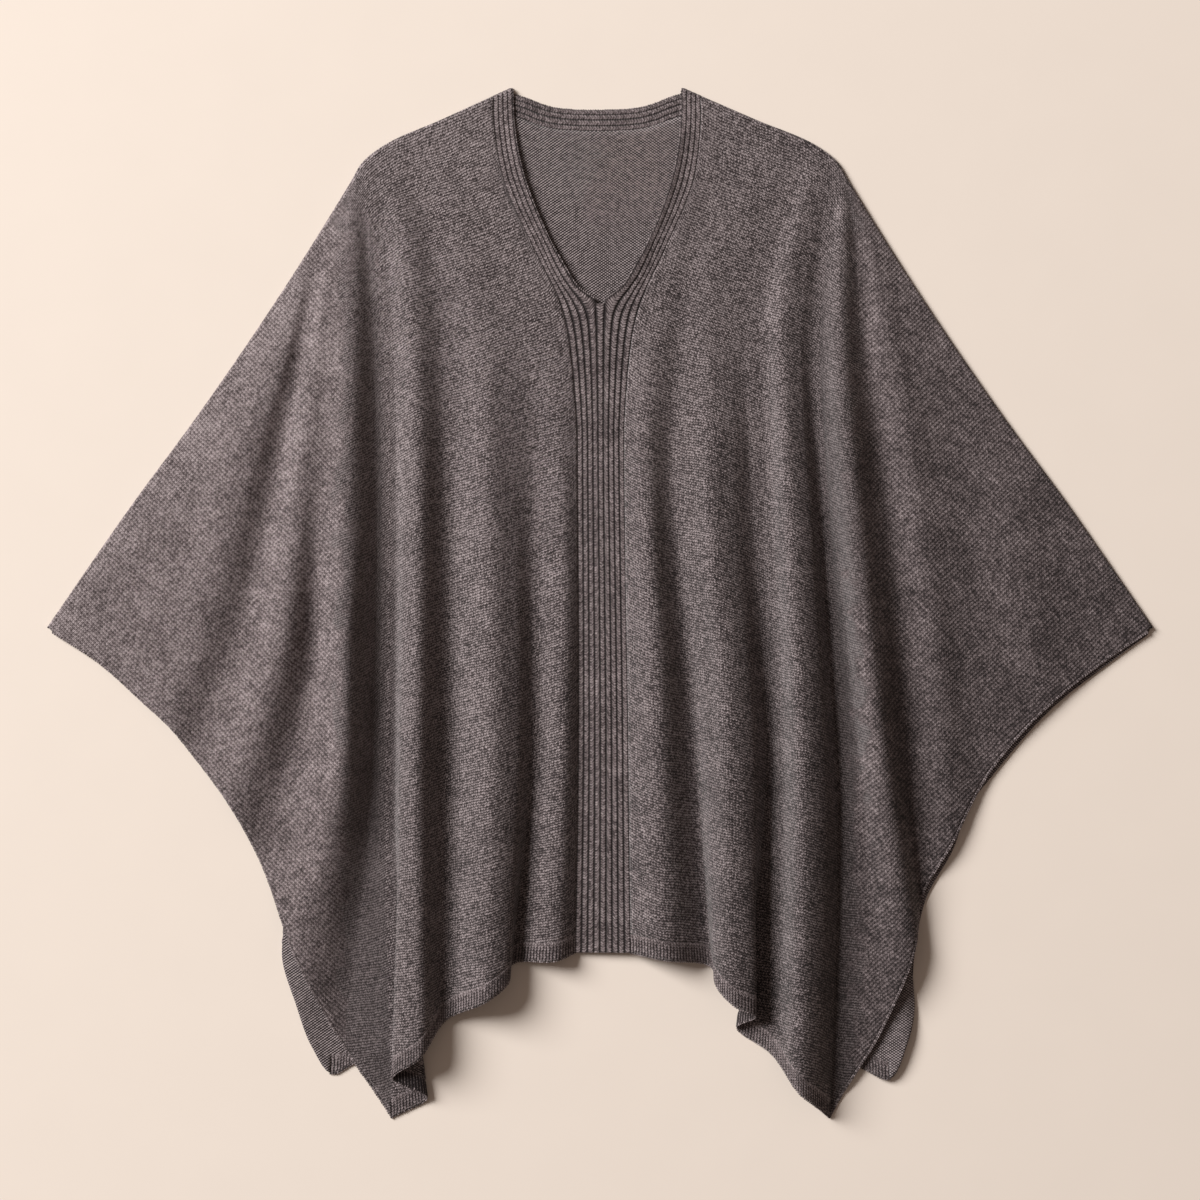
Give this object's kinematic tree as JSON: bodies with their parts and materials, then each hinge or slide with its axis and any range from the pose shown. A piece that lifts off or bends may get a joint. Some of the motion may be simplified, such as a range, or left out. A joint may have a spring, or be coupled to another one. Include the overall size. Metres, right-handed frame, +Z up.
{
  "type": "knitted poncho sweater",
  "caption": "Wide knitted poncho sweater with a V-neck, a ribbed strip down the front and ribbed hems, laid flat and face up with soft folds opening towards the hem.",
  "frame": {"origin": "centre of the garment's outline, on the surface it lies on", "axes": "+X towards the wing on the right of the viewer, +Y towards the neck, +Z up out of the front"},
  "size_m": [1.0504, 0.9781, 0.0333],
  "materials": {
    "plain_knit": "matt heathered fine-gauge knit, charcoal and taupe",
    "rib_knit": "matt ribbed knit, charcoal",
    "purl_knit": "matt wrong side of a fine-gauge knit, charcoal"
  },
  "bodies": {
    "root": {"back_neck_band": "rib_knit", "back_panel": "purl_knit", "centre_rib_panel": "rib_knit", "front_left": "plain_knit", "front_right": "plain_knit", "hem_rib_back": "rib_knit", "hem_rib_front_left": "rib_knit", "hem_rib_front_right": "rib_knit", "neck_trim_left": "rib_knit", "neck_trim_right": "rib_knit"}
  },
  "joints": []
}
